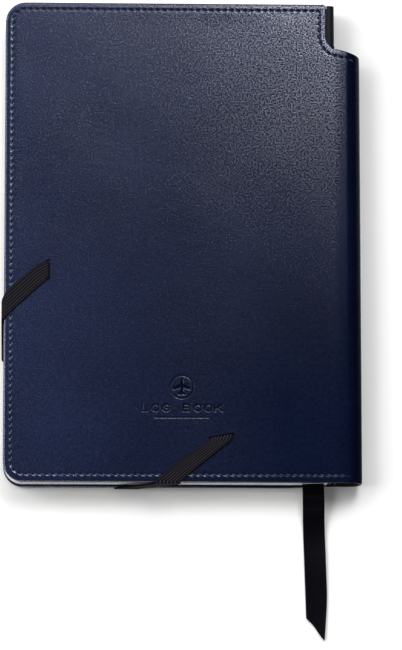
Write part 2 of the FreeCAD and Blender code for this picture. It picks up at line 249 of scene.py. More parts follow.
def painted_light_and_wear(n, where, color):
    """Painted light and shade, and wear, on a skin, from places on the flat leather in metres. The colour is
    painted lighter towards the fore edge and darker towards the spine and round the sleeve's curve, as painted
    light and shade. Handling has polished it towards the fore edge and at the head. Pressed marks are darker
    and duller, and the sleeve's curve is rubbed matt. The polish goes straight to the shader; the painted
    colour is returned."""
    across, along, _ = n.parts(n.carried("flat"))
    pressed = n.add("ShaderNodeAttribute", attribute_name="pressed").outputs["Fac"]
    # Painted light and shade: the colour is painted lighter towards the fore edge and darker towards the
    # spine.
    painted_light_and_pressing = n.span(across, -65 * MM, 40 * MM, 1.4, 0.72)
    painted_light_and_pressing = n.times(painted_light_and_pressing, n.span(pressed, 0.0, 1.0, 1.0, 0.45))
    # Painted shade: the colour is darker round the sleeve's curve, where it turns from the light.
    painted_light_and_pressing = n.times(painted_light_and_pressing, n.span(across, SLEEVE_CENTRE * MM, (SPINE - 3.0) * MM, 1.0, 0.6))

    fore = n.span(across, -65 * MM, -15 * MM, 1.0, 0.0)
    fore = n.times(fore, n.span(along, 80 * MM, -60 * MM, 0.3, 1.0))
    spine = n.span(across, 5 * MM, 40 * MM, 0.0, 1.0)
    spine = n.times(spine, n.span(along, 60 * MM, -70 * MM, 0.2, -0.65))
    polish = n.plus(n.plus(fore, spine), 0.85)
    polish = n.times(polish, n.span(pressed, 0.0, 0.6, 1.0, 0.15))

    raised = n.span(across, -20 * MM, 40 * MM, 0.0, 0.5)
    raised = n.times(raised, n.span(along, -40 * MM, 60 * MM, 0.0, 1.0))
    speckle = n.span(n.noise(where, 1650.0, 2.0, 0.6), 0.37, 0.63, -1.0, 1.0)
    speckle = n.times(speckle, n.plus(raised, 0.6))

    gloss = n.span(across, (SLEEVE_CENTRE - 4.8) * MM, (SLEEVE_CENTRE + 1.0) * MM, 0.46, 0.03)
    gloss = n.times(gloss, n.plus(speckle, 1.0))
    n.shader.inputs["Specular IOR Level"].default_value = 0.3
    n.feed(n.shader.inputs["Specular IOR Level"], n.times(gloss, polish))
    return n.scaled(color, painted_light_and_pressing)


def leather(name, dark, painted_rib_highlight, grain=1.0, rough=(0.15, 0.21), skin=True):
    """Calf-like leatherette: fine pebbles, creases between them, and a slow drift in tone.
    A skin's grain is laid out on the flat leather, so that it turns the sleeve with it."""
    n = Nodes(name)
    where = n.carried("flat") if skin else n.place()
    warp = n.add("ShaderNodeTexNoise")
    n.feed(warp.inputs["Vector"], where)
    warp.inputs["Scale"].default_value = 420.0
    bent = n.add("ShaderNodeVectorMath", operation="MULTIPLY_ADD")
    n.feed(bent.inputs[0], warp.outputs["Color"])
    bent.inputs[1].default_value = (0.0011, 0.0011, 0.0011)
    n.feed(bent.inputs[2], where)
    bent = bent.outputs[0]
    pebbles = n.voronoi(bent, 1700.0)
    creases = n.voronoi(bent, 1150.0, "DISTANCE_TO_EDGE")
    fine = n.noise(where, 3200.0, 2.0)
    drift = n.noise(where, 26.0, 4.0)
    mottle = n.noise(where, 620.0, 3.0, 0.7)

    tone = n.plus(n.times(drift, 0.45), n.times(mottle, 0.55))
    color = n.blend(n.span(tone, 0.36, 0.64, 0.0, 1.0), dark, painted_rib_highlight)
    deep = (dark[0] * 0.4, dark[1] * 0.4, dark[2] * 0.4, 1.0)
    color = n.blend(n.span(creases, 0.0, 0.12, 0.45, 0.0), color, deep)
    blotches = n.plus(n.times(mottle, 0.6), n.times(fine, 0.4))
    roughness = n.span(blotches, 0.3, 0.7, rough[0], rough[1])
    normal = n.bump(pebbles, 0.00006, 0.16 * grain)
    normal = n.bump(n.span(creases, 0.0, 0.16, 0.0, 1.0), 0.00003, 0.2 * grain, normal)
    normal = n.bump(fine, 0.00002, 0.2 * grain, normal)
    if skin:
        # A skin's colour carries painted light and shade across it.
        return n.finish(painted_light_and_wear(n, where, color), roughness, normal, Specular_Tint=(0.8, 0.82, 1.0, 1.0))
    return n.finish(color, roughness, normal, Specular_IOR_Level=0.15)


def thread_material(name, color, shade):
    """Twisted thread with a little fuzz."""
    n = Nodes(name)
    where = n.place()
    twist = n.add("ShaderNodeTexWave", wave_type="BANDS", bands_direction="DIAGONAL")
    n.feed(twist.inputs["Vector"], where)
    twist.inputs["Scale"].default_value = 900.0
    twist.inputs["Distortion"].default_value = 2.0
    fuzz = n.noise(where, 4000.0)
    mixed = n.blend(n.span(twist.outputs["Fac"], 0.0, 1.0, 0.0, 1.0), shade, color)
    normal = n.bump(twist.outputs["Fac"], 0.00006, 0.8)
    return n.finish(mixed, n.span(fuzz, 0.0, 1.0, 0.45, 0.7), normal, Sheen_Weight=0.15)


def elastic_material(name):
    """Knitted elastic: cross picks along each rib, from the band's own length and width."""
    n = Nodes(name)
    along, across, _ = n.parts(n.carried("along"))
    picks = n.math("SINE", n.times(along, 2 * math.pi / 0.62))
    picks = n.span(picks, -1.0, 1.0, 0.0, 1.0)
    ribs = n.math("ABSOLUTE", n.math("SINE", n.times(across, math.pi * STRAP_RIBS)))
    where = n.place()
    fuzz = n.noise(where, 2600.0, 3.0)
    # Painted highlight: the ribs' crests are painted as thin light lines, broken by the cross picks. The lines
    # fade out towards the band's two edges, which paints those edges darker as painted shade.
    painted_rib_highlight = n.times(n.math("POWER", ribs, 8.0), n.span(picks, 0.0, 1.0, 0.4, 1.0))
    off_middle = n.math("ABSOLUTE", n.math("SUBTRACT", across, 0.5))
    painted_rib_highlight = n.times(painted_rib_highlight, n.span(off_middle, 0.4, 0.46, 1.0, 0.15))
    color = n.blend(painted_rib_highlight, srgb(3, 3, 7), srgb(70, 63, 74))
    color = n.blend(n.span(fuzz, 0.35, 0.65, 0.0, 0.25), color, srgb(10, 9, 14))
    normal = n.bump(picks, 0.00012, 0.7)
    normal = n.bump(fuzz, 0.00005, 0.5, normal)
    return n.finish(color, 0.75, normal, Specular_IOR_Level=0.08)


def satin_material(name):
    """Satin: fine yarns along the ribbon, and short floats across it."""
    n = Nodes(name)
    along, across, _ = n.parts(n.carried("along"))
    yarns = n.math("SINE", n.times(across, 2 * math.pi * 26))
    floats = n.math("SINE", n.times(along, 2 * math.pi / 0.5))
    where = n.place()
    drift = n.noise(where, 160.0, 3.0)
    weave = n.plus(n.times(yarns, 0.6), n.times(floats, 0.4))
    color = n.blend(n.span(weave, -1.0, 1.0, 0.0, 1.0), srgb(1, 1, 4), srgb(5, 4, 11))
    color = n.blend(n.span(drift, 0.35, 0.65, 0.0, 0.4), color, srgb(2, 2, 7))
    normal = n.bump(weave, 0.00004, 0.5)
    return n.finish(color, n.span(drift, 0.3, 0.7, 0.42, 0.52), normal, Specular_IOR_Level=0.045)


def cloth_material(name, dark, painted_rib_highlight, pitch=0.35):
    """Plain weave, with its yarns a pitch apart in millimetres."""
    n = Nodes(name)
    x, y, z = n.parts(n.place((1 / (pitch * MM),) * 3))
    over = n.math("SINE", n.times(y, math.pi))
    under = n.math("SINE", n.times(n.plus(x, z), math.pi))
    weave = n.times(over, under)
    fuzz = n.noise(n.place(), 1800.0)
    color = n.blend(n.span(weave, -1.0, 1.0, 0.0, 1.0), dark, painted_rib_highlight)
    normal = n.bump(weave, 0.00008, 0.7)
    return n.finish(color, n.span(fuzz, 0.0, 1.0, 0.7, 0.95), normal)


# A page's ruling, in millimetres from its fore edge and its tail.
RULED_X = (7.0, 119.3)
RULED_Y = (12.0, 174.3)
ROW_PITCH = 6.0
COLUMN_PITCH = 9.35
RULE_W = 0.28
HEADING_FROM = 162.0


def ruling(n):
    """How much ink a page has at each place: rows, columns and a shaded heading."""
    across, up, _ = n.parts(n.carried("page"))

    def within(value, limits):
        low, high = limits
        return n.times(n.math("GREATER_THAN", value, low), n.math("LESS_THAN", value, high))

    rows = n.math("LESS_THAN", n.math("MODULO", up, ROW_PITCH), RULE_W)
    from_margin = n.math("SUBTRACT", across, RULED_X[0])
    columns = n.math("LESS_THAN", n.math("MODULO", from_margin, COLUMN_PITCH), RULE_W)
    heading = n.times(n.math("GREATER_THAN", up, HEADING_FROM), 0.3)
    marks = n.math("MAXIMUM", n.math("MAXIMUM", rows, columns), heading)
    area = n.times(within(across, RULED_X), within(up, RULED_Y))
    return n.times(area, marks)


def paper_material(name, base, shade, ruled=False):
    """Uncoated paper, whose edges show its leaves. Ruled pages have a plain grid, with no words."""
    n = Nodes(name)
    where = n.place()
    fibres = n.noise(where, 1500.0, 4.0, 0.7)
    clouds = n.noise(where, 60.0, 2.0)
    leaves = n.noise(n.place((8, 8, 9000)), 1.0, 1.0, 0.5)
    tone = n.plus(n.times(fibres, 0.5), n.times(clouds, 0.5))
    color = n.blend(n.span(tone, 0.35, 0.65, 0.0, 1.0), shade, base)
    if ruled:
        color = n.blend(n.times(ruling(n), 0.85), color, srgb(96, 118, 152))
    aged = (shade[0] * 0.6, shade[1] * 0.58, shade[2] * 0.52, 1.0)
    color = n.blend(n.span(leaves, 0.45, 0.65, 0.0, 0.14), color, aged)
    normal = n.bump(fibres, 0.00003, 0.5)
    return n.finish(color, 0.85, normal)


def board_material(name):
    """Grey board with flecks in it."""
    n = Nodes(name)
    where = n.place()
    flecks = n.noise(where, 900.0, 4.0, 0.75)
    color = n.blend(n.span(flecks, 0.35, 0.65, 0.0, 1.0), srgb(150, 138, 120), srgb(186, 174, 154))
    return n.finish(color, 0.92, n.bump(flecks, 0.00008, 0.6))


STRAP_RIBS = 7
NAVY_DARK = srgb(8, 15, 38)
NAVY_LIGHT = srgb(16, 26, 54)
cover_leather = leather("navy_leather", NAVY_DARK, NAVY_LIGHT)
spine_leather = leather("black_spine_leather", srgb(5, 6, 15), srgb(11, 12, 24), 0.5, (0.45, 0.55), False)
stitch_thread = thread_material("navy_thread", srgb(58, 66, 98), srgb(20, 24, 48))
# Near-black plugs in the stitch holes, as painted shade inside them.
hole_shade = leather("stitch_hole", srgb(2, 3, 9), srgb(4, 5, 12), 0.3, (0.8, 0.9), False)
elastic = elastic_material("ribbed_elastic")
satin = satin_material("satin")
binding_cloth = cloth_material("binding_cloth", srgb(40, 44, 62), srgb(66, 70, 92))
lining_cloth = cloth_material("sleeve_lining", srgb(10, 11, 18), srgb(22, 23, 33), 0.28)
band_cloth = cloth_material("head_band_cloth", srgb(12, 16, 36), srgb(52, 58, 84), 0.9)
ruled_page = paper_material("ruled_page", srgb(236, 234, 228), srgb(224, 221, 214), True)
endpaper = paper_material("endpaper", srgb(238, 238, 240), srgb(222, 222, 226))
binder_board = board_material("binder_board")


# ---- making meshes
def mesh_piece(name, points, faces, material, smooth=True):
    """A closed piece from points in millimetres, with its faces turned outwards."""
    data = bpy.data.meshes.new(name)
    places = [tuple(c * MM for c in point) for point in points]
    data.from_pydata(places, [], [tuple(face) for face in faces])
    data.materials.append(material)
    if smooth:
        data.polygons.foreach_set("use_smooth", [True] * len(data.polygons))
    work = bmesh.new()
    work.from_mesh(data)
    bmesh.ops.recalc_face_normals(work, faces=work.faces)
    work.to_mesh(data)
    work.free()
    obj = bpy.data.objects.new(name, data)
    bpy.context.scene.collection.objects.link(obj)
    return obj


def carry(obj, name, values):
    """Keeps three numbers for each vertex, for its material to read."""
    attribute = obj.data.attributes.new(name, "FLOAT_VECTOR", "POINT")
    attribute.data.foreach_set("vector", np.asarray(values, np.float32).ravel())


def around(first, rings, size):
    """Faces between rings of points that follow one another, from the point numbered first."""
    faces = []
    for ring in range(rings - 1):
        a = first + ring * size
        for i in range(size):
            j = (i + 1) % size
            faces.append((a + i, a + j, a + size + j, a + size + i))
    return faces


def tube(first, rings, size):
    """The faces of a closed tube: its side, and a cap on each end."""
    last = first + (rings - 1) * size
    return around(first, rings, size) + [tuple(range(first, first + size)), tuple(range(last, last + size))]


def flat_tube(rings, across):
    """The same for a flat band, whose rings run across one face and back across the other."""
    size = 2 * (across + 1)
    faces = around(0, rings, size)
    for end in (0, (rings - 1) * size):
        for i in range(across):
            faces.append((end + i, end + i + 1, end + size - 2 - i, end + size - 1 - i))
    return faces


def there_and_back(across):
    """The steps of such a ring: which face (1 or -1), and the point's number across it."""
    return [(1, i) for i in range(across + 1)] + [(-1, i) for i in range(across, -1, -1)]


# ---- leather skins
def smooth_step(value, low, high):
    """From 0 at low to 1 at high, with no corners."""
    t = min(max((value - low) / (high - low), 0.0), 1.0)
    return t * t * (3 - 2 * t)


def wrapped(u, y, h, side):
    """A point of a skin, from its place on the flat leather and its height over the outside.
    side is 1 for the back cover and -1 for the front cover."""
    if u <= SLEEVE_CENTRE:
        x, z = u, TOP + h
    elif u <= SLEEVE_CENTRE + QUARTER:
        turn = (u - SLEEVE_CENTRE) / SLEEVE_R
        x = SLEEVE_CENTRE + (SLEEVE_R + h) * math.sin(turn)
        z = TOP - SLEEVE_R + (SLEEVE_R + h) * math.cos(turn)
    else:
        x, z = SPINE + h, TOP - SLEEVE_R - (u - SLEEVE_CENTRE - QUARTER)
    return (x, y, z) if side > 0 else (x, y, TOP - z)


def flat_x(u):
    """How far towards the spine a place on the flat leather comes, once it is wrapped."""
    turn = min(max((u - SLEEVE_CENTRE) / SLEEVE_R, 0.0), math.pi / 2)
    return min(u, SLEEVE_CENTRE) + (SLEEVE_R * math.sin(turn) if u > SLEEVE_CENTRE else 0.0)


def sleeve_end(u, inset):
    """The sleeve's head end, which is cut straight as seen from above."""
    drop = inset * math.hypot(1.0, SLEEVE_SLOPE)
    return SLEEVE_HEAD[1] + SLEEVE_SLOPE * (flat_x(u) - SLEEVE_HEAD[0]) - drop


def notch_low(inset):
    """Where the notch's round end meets the sleeve's head end."""
    turn = math.radians(NOTCH_TURN_END)
    return (NOTCH_MIDDLE[0] + (NOTCH_R + inset) * math.cos(turn),
            NOTCH_MIDDLE[1] + (NOTCH_R + inset) * math.sin(turn))


def skin_outline(inset, spacing=STITCH_PITCH / 4):
    """The flat leather's edge moved in by inset: tail, fore edge, head, notch, sleeve's head end, seam.
    Every inset gives as many points, a spacing apart on the sewn line. Returns them and how many come
    before the seam."""
    def straight(a, b, count):
        steps = [i / count for i in range(count)]
        return [(a[0] + (b[0] - a[0]) * t, a[1] + (b[1] - a[1]) * t) for t in steps]

    def bend(centre, radius, start, end, count):
        turns = [math.radians(start + (end - start) * i / count) for i in range(count)]
        return [(centre[0] + radius * math.cos(t), centre[1] + radius * math.sin(t)) for t in turns]

    def steps(length):
        return round(length / spacing)

    at = STITCH_INSET
    r = CORNER_R
    edge = SEAM - inset
    corner = max(HEAD_CORNER_R, inset)
    notch_r = NOTCH_R + inset
    low = notch_low(inset)
    round_steps = steps((r - at) * math.pi / 2)

    points = straight((edge, TAIL + inset), (FORE + r, TAIL + inset), steps(SEAM - FORE - r))
    points += bend((FORE + r, TAIL + r), r - inset, 270, 180, round_steps)
    points += straight((FORE + inset, TAIL + r), (FORE + inset, HEAD - r), steps(HEAD - TAIL - 2 * r))
    points += bend((FORE + r, HEAD - r), r - inset, 180, 90, round_steps)
    points += straight((FORE + r, HEAD - inset), (NOTCH - corner, HEAD - inset), steps(NOTCH - FORE - r - 2))
    points += bend((NOTCH - corner, HEAD - corner), corner - inset, 90, 0, 5)
    points += straight((NOTCH - inset, HEAD - corner), (NOTCH - inset, NOTCH_MIDDLE[1]),
                       steps(HEAD - NOTCH_MIDDLE[1] - 2))
    points += bend(NOTCH_MIDDLE, notch_r, 180, NOTCH_TURN_END, steps((NOTCH_R + at) * 1.3))
    sleeve_steps = steps(SEAM - notch_low(at)[0])
    for i in range(sleeve_steps):
        u = low[0] + (edge - low[0]) * i / sleeve_steps
        points.append((u, sleeve_end(u, inset)))
    seam_start = len(points)
    seam_steps = round((sleeve_end(SEAM, at) - TAIL) / (4 * spacing))
    points += straight((edge, sleeve_end(edge, inset)), (edge, TAIL + inset), seam_steps)
    return points, seam_start


def thickness(u):
    """A cover's thickness, which falls to the sleeve's across the hinge."""
    return COVER_T + (SLEEVE_T - COVER_T) * smooth_step(u, 54.0 + SHIFT, 56.2 + SHIFT)


def channel_depth(x, y):
    """How deep the strap has pressed into the front cover at a point of it."""
    (ax, ay), (bx, by) = FRONT_STRAND
    length = math.hypot(bx - ax, by - ay)
    off = abs((x - ax) * (by - ay) - (y - ay) * (bx - ax)) / length
    return CHANNEL_DEPTH * (1 - smooth_step(off, STRAP_W / 2 + 0.5, STRAP_W / 2 + 1.5))


def fill(ring, inside, loops):
    """Triangles inside a ring of points, using the points inside it and the closed loops."""
    points = [Vector(p) for p in ring] + [Vector(p) for p in inside]
    edges = []
    loop_at = []
    for loop in loops:
        first = len(points)
        points += [Vector(p) for p in loop]
        edges += [(first + i, first + (i + 1) % len(loop)) for i in range(len(loop))]
        loop_at.append((first, first + len(loop)))
    face = list(range(len(ring)))
    made, _, triangles, origin, _, _ = delaunay_2d_cdt(points, edges, [face], 1, 1e-5)
    return made, triangles, origin, loop_at


def contains(polygon, x, y):
    """Whether a point is inside a polygon."""
    inside = False
    for (ax, ay), (bx, by) in zip(polygon, polygon[1:] + polygon[:1]):
        if (ay > y) != (by > y) and x < ax + (y - ay) * (bx - ax) / (by - ay):
            inside = not inside
    return inside


def distance_to(polygon, x, y):
    """Distance from a point to a polygon's edge."""
    a = np.array(polygon)
    b = np.roll(a, -1, axis=0)
    p = np.array((x, y))
    run = b - a
    t = np.clip(((p - a) * run).sum(1) / np.maximum((run * run).sum(1), 1e-9), 0, 1)
    return float(np.hypot(*(a + run * t[:, None] - p).T).min())


def loft_grid(ring, step, fine_from, fine_step):
    """Points inside a ring: a staggered grid, closer together in the hinge and round the sleeve."""
    xs = [x for x, _ in ring]
    ys = [y for _, y in ring]
    found = []
    u = min(xs) + step / 2
    row = 0
    while u < max(xs):
        width = fine_step if u > fine_from else step
        y = min(ys) + (step / 2 if row % 2 else step)
        while y < max(ys):
            found.append((u, y))
            y += step
        u += width
        row += 1
    outline = ring[::3]
    clear = fine_step * 0.6
    return [(x, y) for x, y in found if contains(outline, x, y) and distance_to(outline, x, y) > clear]


# Rings of points run round a skin, each further in: over its rolled edge, then to the sewn line and past it.
EDGE_ROUND = 0.24                    # the rolled edge falls by this share of the thickness
EDGE_DROPS = {0.0: 1.0, 0.05: 0.577, 0.18: 0.234, 0.35: 0.049}
GROOVE_DEPTH = 0.3                   # how deep the thread pulls the sewn line, at each hole
SEWN_DEPTHS = {STITCH_INSET + off: depth for off, depth in
               ((-0.4, 0.1), (-0.2, 0.75), (0.0, 1.0), (0.2, 0.75), (0.4, 0.1))}
INSETS = [*EDGE_DROPS, 0.55, 0.9, 1.3, 1.8, *SEWN_DEPTHS, 3.9, 4.8]
SWELL = 0.07                         # how uneven the broad face is
CHANNEL_DEPTH = 0.95                 # of the strap's channel in the front cover


def skin(name, side, recesses, near):
    """One cover's leather with its half of the sleeve: a closed skin with a rolled edge and a sewn line.
    recesses are (outer loop, inner loop, depth), and near holds extra points for finer shapes."""
    base, seam_start = skin_outline(STITCH_INSET)
    base = np.array(base)
    lengths = np.concatenate([[0.0], np.cumsum(np.hypot(*np.diff(base, axis=0).T))])
    points = []
    rings = []

    def pressed(u, y):
        return pressed_depth(u, y) if side > 0 else 0.0

    def add_ring(inset, height_of):
        outline, _ = skin_outline(inset)
        first = len(points)
        for i, (u, y) in enumerate(outline):
            points.append((u, y, height_of(i, u)))
        rings.append(range(first, len(points)))
        return outline

    add_ring(ROLL, lambda i, u: -thickness(u))
    add_ring(0.0, lambda i, u: -thickness(u) + ROLL)
    for inset in INSETS:
        def height(i, u, inset=inset):
            if i >= seam_start:
                return 0.0
            if inset in SEWN_DEPTHS and u < STITCH_END + 0.5:
                phase = 0.5 + 0.5 * math.cos(2 * math.pi * lengths[i] / STITCH_PITCH)
                return -GROOVE_DEPTH * SEWN_DEPTHS[inset] * phase ** 3
            pulled = EDGE_DOME * max(1 - inset / EDGE_DOME_W, 0.0) ** 2 * thickness(u) / COVER_T
            return -EDGE_ROUND * thickness(u) * EDGE_DROPS.get(inset, 0.0) - pulled
        last = add_ring(inset, height)
    faces = []
    for lower, upper in zip(rings[:-1], rings[1:]):
        count = len(lower)
        for i in range(count):
            j = (i + 1) % count
            faces.append((lower[i], lower[j], upper[j], upper[i]))

    def close(ring, ring_ids, inside, loops, heights, flat):
        """Fill a ring with triangles whose heights come from the loops or from flat(u, y)."""
        made, triangles, origin, spans = fill(ring, inside, loops)
        ids = []
        for number, point in enumerate(made):
            source = origin[number][0] if origin[number] else None
            if source is not None and source < len(ring):
                ids.append(ring_ids[source])
                continue
            height_here = flat(point.x, point.y)
            for (first, end), height_loop in zip(spans, heights):
                if source is not None and first <= source < end:
                    height_here = height_loop
            ids.append(len(points))
            points.append((point.x, point.y, height_here))
        for triangle in triangles:
            faces.append(tuple(ids[i] for i in triangle))

    loops = [loop for outer, inner, _ in recesses for loop in (outer, inner)]
    heights = [height for _, _, depth in recesses for height in (0.0, -depth)]
    inside = loft_grid(last, 4.0, FINE_FROM, 0.8)
    for outer, _, _ in recesses:
        inside = [p for p in inside if not contains(outer, *p) and distance_to(outer, *p) >= 0.5]
    inside += near

    def swell(u, y):
        """A slight unevenness, which only goes inwards on the front cover, because the book rests on it."""
        wave = noise.noise(Vector((u * 0.035, y * 0.035, 3.0 * side)))
        wave = wave if side > 0 else wave - 1.0
        return SWELL * wave * (1 - smooth_step(u, 50, 56)) - pressed(u, y)

    close(last, rings[-1], inside, loops, heights, swell)
    under, _ = skin_outline(ROLL)
    close(under, rings[0], loft_grid(under, 8.0, FINE_FROM, 0.8), [], [], lambda u, y: -thickness(u))

    solid = []
    for u, y, h in points:
        if side < 0:
            h -= channel_depth(u, y) if u < HINGE and h > -1.5 else 0.0
            y -= FRONT_PROUD * smooth_step(-y, 55, 94) * (1 - smooth_step(u, 40, 56))
        solid.append(wrapped(u, y, h, side))
    obj = mesh_piece(name, solid, faces, cover_leather)
    carry(obj, "flat", [(u * MM, y * MM, side * 0.1) for u, y, h in points])
    carry(obj, "pressed", [(pressed(u, y) / PRESS_DEPTH,) * 3 for u, y, h in points])
    obj.data.set_sharp_from_angle(angle=math.radians(60))
    return obj


# ---- the strap's path
STRAP_W = 7.4
STRAP_T = 0.85


def shifted(points):
    """Points measured from the covers' middle, in the frame."""
    return [(x + SHIFT, y + SHIFT) for x, y in points]


# The two strands on the back cover, by their forward and behind edges, from each slit to the cover's edge.
UPPER_FORWARD = shifted([(-52.75, -8.8), (-54.6, -9.1), (-57.4, -10.7),
                         (-61.1, -13.9), (-65.6, -17.9), (-69.6, -21.5)])
UPPER_BEHIND = shifted([(-52.75, -15.4), (-53.9, -16.8), (-57.0, -19.5),
                        (-60.6, -22.8), (-65.2, -27.1), (-69.6, -31.3)])
LOWER_FORWARD = shifted([(19.2, -76.6), (18.6, -78.6), (15.2, -81.4),
                         (10.9, -84.9), (5.0, -89.6), (-0.8, -94.6)])
LOWER_BEHIND = shifted([(10.6, -78.2), (9.2, -79.3), (6.0, -81.4),
                        (1.5, -84.6), (-4.8, -89.6), (-11.0, -94.6)])
# The edges again, where the strap turns under the fore edge (their y) and under the tail (their x).
FORE_BOTTOM = (-34.6 + SHIFT, -46.2 + SHIFT)
TAIL_BOTTOM = (-17.2 + SHIFT, -26.6 + SHIFT)
FRONT_STRAND = ((FORE, sum(FORE_BOTTOM) / 2), (sum(TAIL_BOTTOM) / 2, TAIL))


# ---- the pressed emblem
# Half of an aeroplane's outline, from its nose round one wing to its tail.
aeroplane_half = [(0.0, 4.3), (0.4, 3.7), (0.55, 2.7), (0.58, 1.6), (4.3, -0.6), (4.3, -1.4), (0.58, -0.4),
                  (0.42, -2.6), (1.7, -3.5), (1.7, -4.1), (0.0, -3.7)]
EMBLEM_X = -0.5 + SHIFT
EMBLEM_Y = -58.0 + SHIFT
ROUND = [(0.5 + 0.5 * math.cos(math.radians(a)), 0.5 + 0.5 * math.sin(math.radians(a)))
         for a in range(0, 361, 30)]
# Letters as strokes in a square of side 1.
LETTERS = {
    "L": [[(0.1, 1), (0.1, 0), (0.9, 0)]],
    "O": [ROUND],
    "G": [ROUND[1:12] + [(0.98, 0.3), (0.98, 0.45), (0.6, 0.45)]],
    "B": [[(0, 0), (0, 1), (0.7, 0.95), (0.85, 0.75), (0.7, 0.55), (0, 0.52)],
          [(0.7, 0.53), (0.95, 0.27), (0.75, 0.03), (0, 0)]],
    "K": [[(0, 0), (0, 1)], [(0.95, 1), (0, 0.42)], [(0.3, 0.6), (1, 0)]],
    " ": [],
}


def pressed_word(word, y, width, height, pitch, half, depth):
    """The strokes of a word pressed into the leather: (start, end, half width, depth)."""
    found = []
    for number, letter in enumerate(word):
        x = EMBLEM_X + (number - (len(word) - 1) / 2) * pitch - width / 2
        for stroke in LETTERS[letter]:
            spots = [(x + a * width, y + (b - 0.5) * height) for a, b in stroke]
            found += [(p, q, half, depth) for p, q in zip(spots, spots[1:])]
    return found


PRESS_DEPTH = 0.14
PRESS_WALL = 0.22                    # how far a pressed mark's wall slopes
PRESS_STEP = 0.2
RING_R = 4.5
PLANE_SCALE = 0.74
RULE_HALF = 10.5
plane = aeroplane_half + [(-x, y) for x, y in reversed(aeroplane_half[1:-1])]
plane = [(EMBLEM_X + PLANE_SCALE * x, EMBLEM_Y + PLANE_SCALE * y) for x, y in plane]
ring_turns = [math.radians(a) for a in range(0, 360, 12)]
ring = [(EMBLEM_X + RING_R * math.cos(turn), EMBLEM_Y + RING_R * math.sin(turn)) for turn in ring_turns]
rule_y = EMBLEM_Y - 12.0
pressed_strokes = [(p, q, 0.05, PRESS_DEPTH) for p, q in zip(plane, plane[1:] + plane[:1])]
pressed_strokes += [(p, q, 0.16, 0.12) for p, q in zip(ring, ring[1:] + ring[:1])]
pressed_strokes += pressed_word("LOG BOOK", EMBLEM_Y - 8.2, 2.9, 2.6, 4.1, 0.17, PRESS_DEPTH)
pressed_strokes.append(((EMBLEM_X - RULE_HALF, rule_y), (EMBLEM_X + RULE_HALF, rule_y), 0.14, 0.1))


def pressed_points():
    """A fine grid of points round every stroke, so that the leather can follow it."""
    cells = set()
    for (ax, ay), (bx, by), half, _ in pressed_strokes:
        count = max(int(math.hypot(bx - ax, by - ay) / PRESS_STEP), 1)
        reach = int((half + 0.45) / PRESS_STEP) + 1
        for k in range(count + 1):
            i = round((ax + (bx - ax) * k / count) / PRESS_STEP)
            j = round((ay + (by - ay) * k / count) / PRESS_STEP)
            cells |= {(i + p, j + q) for p in range(-reach, reach + 1) for q in range(-reach, reach + 1)}
    return [(i * PRESS_STEP, j * PRESS_STEP) for i, j in sorted(cells)]


def pressed_depth(x, y):
    """How deep the emblem, words and rule are pressed in at a point of the back cover."""
    if abs(x - EMBLEM_X) > 18 or abs(y - EMBLEM_Y + 5) > 12:
        return 0.0
    deepest = PRESS_DEPTH if contains(plane, x, y) else 0.0
    for (ax, ay), (bx, by), half, depth in pressed_strokes:
        run = (bx - ax, by - ay)
        t = min(max(((x - ax) * run[0] + (y - ay) * run[1]) / (run[0] ** 2 + run[1] ** 2), 0.0), 1.0)
        off = math.hypot(ax + run[0] * t - x, ay + run[1] * t - y)
        if off < half + PRESS_WALL:
            deepest = max(deepest, depth * (1 - smooth_step(off, half, half + PRESS_WALL)))
    return deepest


def shrink(polygon, distance):
    """A polygon moved in by a distance along its corners' middles."""
    area = sum(a[0] * b[1] - b[0] * a[1] for a, b in zip(polygon, polygon[1:] + polygon[:1]))
    sign = 1 if area > 0 else -1
    moved = []
    for i, (x, y) in enumerate(polygon):
        before = Vector(polygon[i]) - Vector(polygon[i - 1])
        after = Vector(polygon[(i + 1) % len(polygon)]) - Vector(polygon[i])
        n1 = Vector((-before.y, before.x)).normalized() * sign
        n2 = Vector((-after.y, after.x)).normalized() * sign
        way = n1 + n2
        way = way / max(way.length_squared / 2, 0.5)
        moved.append((x + way.x * distance, y + way.y * distance))
    return moved


SLIT_HALF = 0.75                     # half of a slit's width
SLIT_WALL = 0.25                     # how far its walls slope
SLIT_DEPTH = 1.1
SLIT_PAST = (0.9, 0.5)               # how far it goes past the strap's forward and behind edges


def slit_loops():
    """The slits that the strap comes up through, as recesses in the back cover."""
    found = []
    for a, b in ((UPPER_FORWARD[0], UPPER_BEHIND[0]), (LOWER_FORWARD[0], LOWER_BEHIND[0])):
        along = (Vector(b) - Vector(a)).normalized()
        across = Vector((-along.y, along.x))
        a = Vector(a) - along * SLIT_PAST[0]
        b = Vector(b) + along * SLIT_PAST[1]
        half = across * SLIT_HALF
        outer = [tuple(p) for p in (a - half, b - half, b + half, a + half)]
        found.append((outer, shrink(outer, SLIT_WALL), SLIT_DEPTH))
    return found


back_skin = skin("back_leather", 1, slit_loops(), pressed_points())
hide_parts("back_cover_leather", "pen_sleeve_leather", "back_hinge_cloth")
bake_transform(back_skin)


def channel_points():
    """Extra points for the front cover's skin, across the channel under the strap."""
    offsets = (-6.6, -5.6, -4.9, -4.3, -3.6, 0.0, 3.6, 4.3, 4.9, 5.6, 6.6)
    (ax, ay), (bx, by) = FRONT_STRAND
    length = math.hypot(bx - ax, by - ay)
    ahead = ((bx - ax) / length, (by - ay) / length)
    places = [(2.5 * i, off) for i in range(int(length / 2.5)) for off in offsets]
    return [(ax + ahead[0] * s + ahead[1] * off, ay + ahead[1] * s - ahead[0] * off) for s, off in places]


front_skin = skin("front_leather", -1, [], channel_points())
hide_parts("front_cover_leather", "front_hinge_cloth")
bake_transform(front_skin)


